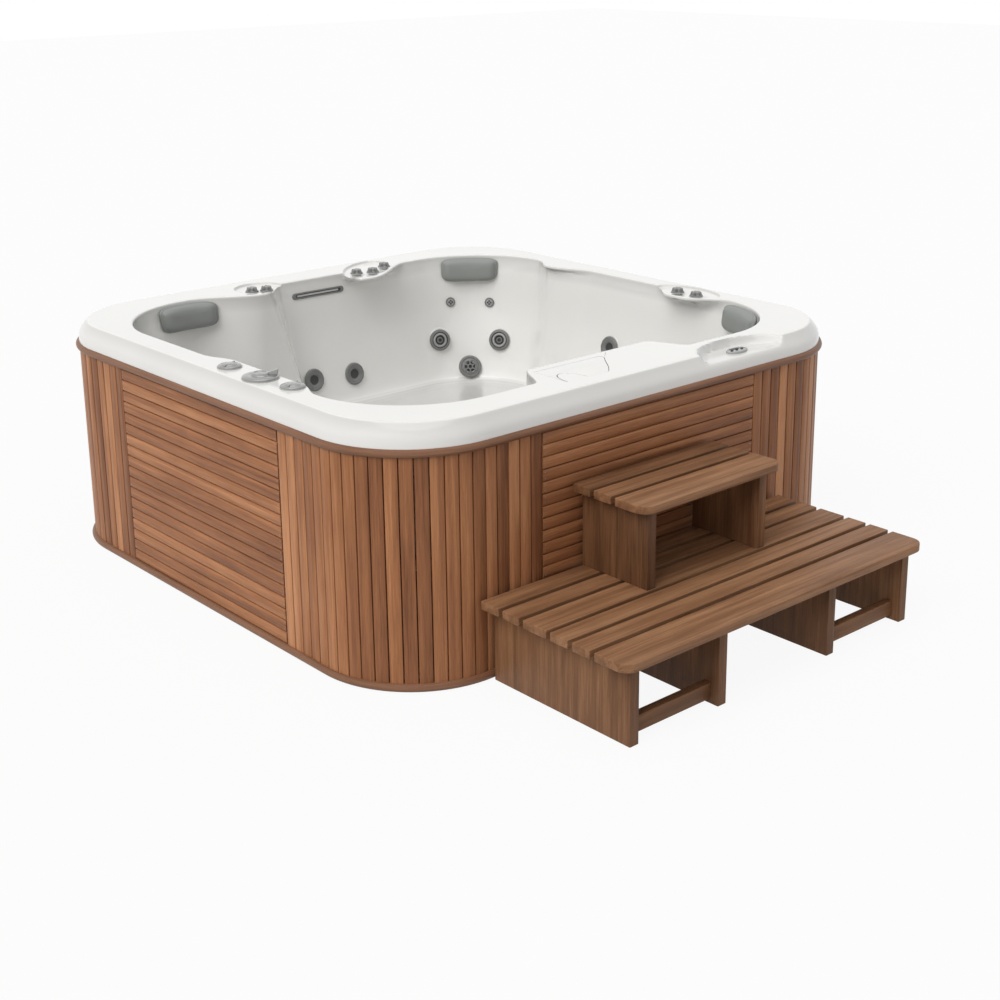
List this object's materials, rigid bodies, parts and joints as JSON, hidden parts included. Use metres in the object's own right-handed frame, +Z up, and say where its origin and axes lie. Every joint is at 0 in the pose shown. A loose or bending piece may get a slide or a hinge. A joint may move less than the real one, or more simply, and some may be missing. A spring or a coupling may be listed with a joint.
{
  "type": "square hot tub",
  "caption": "Square hot tub with a slatted wooden skirt and rounded corners, a white moulded shell with jets, dials and head pillows, and a two-tier wooden step.",
  "frame": {"origin": "on the floor under the middle of the tub's square plan", "axes": "+Z up, -Y towards the front panel and the steps, +X to the right as seen from the steps"},
  "size_m": [2.227, 2.8815, 0.9002],
  "materials": {
    "acrylic_white": "glossy moulded acrylic",
    "skirt_wood": "oiled red-brown softwood boards",
    "step_wood": "oiled red-brown softwood boards",
    "frame_timber": "sawn pine",
    "pan_plastic": "thermoformed sheet",
    "jet_gray": "satin moulded plastic",
    "fitting_gray": "moulded plastic",
    "dial_silver": "satin silver-gray moulded plastic",
    "lid_gray": "moulded plastic",
    "screw_steel": "stainless steel",
    "pillow_foam": "moulded foam with a smooth skin",
    "button_rubber": "soft touch",
    "filter_paper": "pleated filter cloth",
    "pump_plastic": "moulded and cast housings",
    "heater_steel": "stainless tube"
  },
  "bodies": {
    "tub": {"base_pan": "pan_plastic", "base_trim": "skirt_wood", "top_trim": "skirt_wood", "timber_frame": "frame_timber", "corner_formers": "frame_timber", "corner_staves": "skirt_wood", "front_panel": "skirt_wood", "back_panel": "skirt_wood", "right_panel": "skirt_wood", "panel_screws": "screw_steel", "tub_shell": "acrylic_white", "shell_blocks": "frame_timber", "footwell_cradle": "frame_timber", "jet_bodies": "fitting_gray", "neck_jet_set": "jet_gray", "waterfall_spout": "jet_gray", "suction_covers": "fitting_gray", "floor_drain": "fitting_gray", "valve_bodies": "fitting_gray", "keypad": "dial_silver", "filter_well": "lid_gray", "filter_cartridge": "filter_paper", "pillows": "pillow_foam", "jet_pumps": "pump_plastic", "heater": "heater_steel", "control_box": "pump_plastic", "air_blower": "pump_plastic", "drain_valve": "fitting_gray", "cable_gland": "button_rubber"},
    "jet_face_1": {"jet_face_1": "jet_gray"},
    "jet_face_2": {"jet_face_2": "jet_gray"},
    "jet_face_3": {"jet_face_3": "jet_gray"},
    "jet_face_4": {"jet_face_4": "jet_gray"},
    "jet_face_5": {"jet_face_5": "jet_gray"},
    "jet_face_6": {"jet_face_6": "jet_gray"},
    "jet_face_7": {"jet_face_7": "jet_gray"},
    "jet_face_8": {"jet_face_8": "jet_gray"},
    "air_dial_left": {"air_dial_left": "dial_silver"},
    "diverter_dial": {"diverter_dial": "dial_silver"},
    "air_dial_right": {"air_dial_right": "dial_silver"},
    "pad_knob_1": {"pad_knob_1": "dial_silver"},
    "pad_knob_2": {"pad_knob_2": "dial_silver"},
    "pad_knob_3": {"pad_knob_3": "dial_silver"},
    "pad_knob_4": {"pad_knob_4": "dial_silver"},
    "pad_knob_5": {"pad_knob_5": "dial_silver"},
    "pad_knob_6": {"pad_knob_6": "dial_silver"},
    "pad_knob_7": {"pad_knob_7": "dial_silver"},
    "keypad_button_1": {"keypad_button_1": "button_rubber"},
    "keypad_button_2": {"keypad_button_2": "button_rubber"},
    "keypad_button_3": {"keypad_button_3": "button_rubber"},
    "filter_lid": {"filter_lid": "lid_gray"},
    "weir_flap": {"weir_flap": "lid_gray"},
    "service_panel": {"service_panel": "skirt_wood", "service_screws": "screw_steel"},
    "steps": {"step_uprights": "step_wood", "step_slats": "step_wood", "step_stretchers": "step_wood"}
  },
  "joints": [
    {"name": "jet_1_turn", "type": "hinge", "parent": "tub", "child": "jet_face_1", "pos_m": [-0.0358, 0.84774, 0.44656], "axis": [0, -0.9746, 0.2241], "range_deg": [0, 90]},
    {"name": "jet_2_turn", "type": "hinge", "parent": "tub", "child": "jet_face_2", "pos_m": [0.17189, 0.84521, 0.43556], "axis": [0, -0.9746, 0.2241], "range_deg": [0, 90]},
    {"name": "jet_3_turn", "type": "hinge", "parent": "tub", "child": "jet_face_3", "pos_m": [0.64676, 0.8416, 0.50306], "axis": [-0.3232, -0.9236, 0.2063], "range_deg": [0, 90]},
    {"name": "jet_4_turn", "type": "hinge", "parent": "tub", "child": "jet_face_4", "pos_m": [0.86355, 0.68082, 0.49518], "axis": [-0.8269, -0.5196, 0.2149], "range_deg": [0, 90]},
    {"name": "jet_5_turn", "type": "hinge", "parent": "tub", "child": "jet_face_5", "pos_m": [0.92904, 0.0432, 0.56846], "axis": [-0.9829, 0, 0.1843], "range_deg": [0, 90]},
    {"name": "jet_6_turn", "type": "hinge", "parent": "tub", "child": "jet_face_6", "pos_m": [0.83747, -0.73033, 0.49204], "axis": [-0.8269, 0.5196, 0.2149], "range_deg": [0, 90]},
    {"name": "jet_7_turn", "type": "hinge", "parent": "tub", "child": "jet_face_7", "pos_m": [0.907, -0.55896, 0.49115], "axis": [-0.9751, 0.1099, 0.1925], "range_deg": [0, 90]},
    {"name": "jet_8_turn", "type": "hinge", "parent": "tub", "child": "jet_face_8", "pos_m": [0.75045, 0.756, 0.37643], "axis": [-0.4869, -0.7749, 0.4031], "range_deg": [0, 90]},
    {"name": "air_dial_left_turn", "type": "hinge", "parent": "tub", "child": "air_dial_left", "pos_m": [-1.001, -0.082, 0.868], "axis": [0, 0, 1], "range_deg": [0, 120]},
    {"name": "diverter_dial_turn", "type": "hinge", "parent": "tub", "child": "diverter_dial", "pos_m": [-1.001, -0.272, 0.868], "axis": [0, 0, 1], "range_deg": [0, 180]},
    {"name": "air_dial_right_turn", "type": "hinge", "parent": "tub", "child": "air_dial_right", "pos_m": [-0.985, -0.436, 0.868], "axis": [0, 0, 1], "range_deg": [0, 120]},
    {"name": "pad_knob_1_turn", "type": "hinge", "parent": "tub", "child": "pad_knob_1", "pos_m": [-0.246, 0.85, 0.865], "axis": [0, 0, 1], "range_deg": [0, 180]},
    {"name": "pad_knob_2_turn", "type": "hinge", "parent": "tub", "child": "pad_knob_2", "pos_m": [-0.302, 0.872, 0.865], "axis": [0, 0, 1], "range_deg": [0, 180]},
    {"name": "pad_knob_3_turn", "type": "hinge", "parent": "tub", "child": "pad_knob_3", "pos_m": [0.221, 0.868, 0.865], "axis": [0, 0, 1], "range_deg": [0, 180]},
    {"name": "pad_knob_4_turn", "type": "hinge", "parent": "tub", "child": "pad_knob_4", "pos_m": [0.288, 0.842, 0.865], "axis": [0, 0, 1], "range_deg": [0, 180]},
    {"name": "pad_knob_5_turn", "type": "hinge", "parent": "tub", "child": "pad_knob_5", "pos_m": [0.392, 0.9, 0.865], "axis": [0, 0, 1], "range_deg": [0, 180]},
    {"name": "pad_knob_6_turn", "type": "hinge", "parent": "tub", "child": "pad_knob_6", "pos_m": [0.937, -0.33, 0.865], "axis": [0, 0, 1], "range_deg": [0, 180]},
    {"name": "pad_knob_7_turn", "type": "hinge", "parent": "tub", "child": "pad_knob_7", "pos_m": [0.939, -0.428, 0.865], "axis": [0, 0, 1], "range_deg": [0, 180]},
    {"name": "button_1_press", "type": "slide", "parent": "tub", "child": "keypad_button_1", "axis": [0, 0, -1], "range_m": [0, 0.0012], "stiffness_N_per_m": 400, "springref_m": -0.001},
    {"name": "button_2_press", "type": "slide", "parent": "tub", "child": "keypad_button_2", "axis": [0, 0, -1], "range_m": [0, 0.0012], "stiffness_N_per_m": 400, "springref_m": -0.001},
    {"name": "button_3_press", "type": "slide", "parent": "tub", "child": "keypad_button_3", "axis": [0, 0, -1], "range_m": [0, 0.0012], "stiffness_N_per_m": 400, "springref_m": -0.001},
    {"name": "filter_lid_lift", "type": "slide", "parent": "tub", "child": "filter_lid", "axis": [0, 0, 1], "range_m": [0, 0.15]},
    {"name": "weir_flap_swing", "type": "hinge", "parent": "tub", "child": "weir_flap", "pos_m": [-0.221, -0.824, 0.7173], "axis": [1, 0, 0], "range_deg": [0, 80], "stiffness_Nm_per_rad": 0.02, "springref_deg": -22.92},
    {"name": "service_panel_pull", "type": "slide", "parent": "tub", "child": "service_panel", "axis": [-1, 0, 0], "range_m": [0, 0.3]},
    {"name": "steps_slide", "type": "slide", "parent": "tub", "child": "steps", "axis": [0, -1, 0], "range_m": [0, 0.5]}
  ]
}
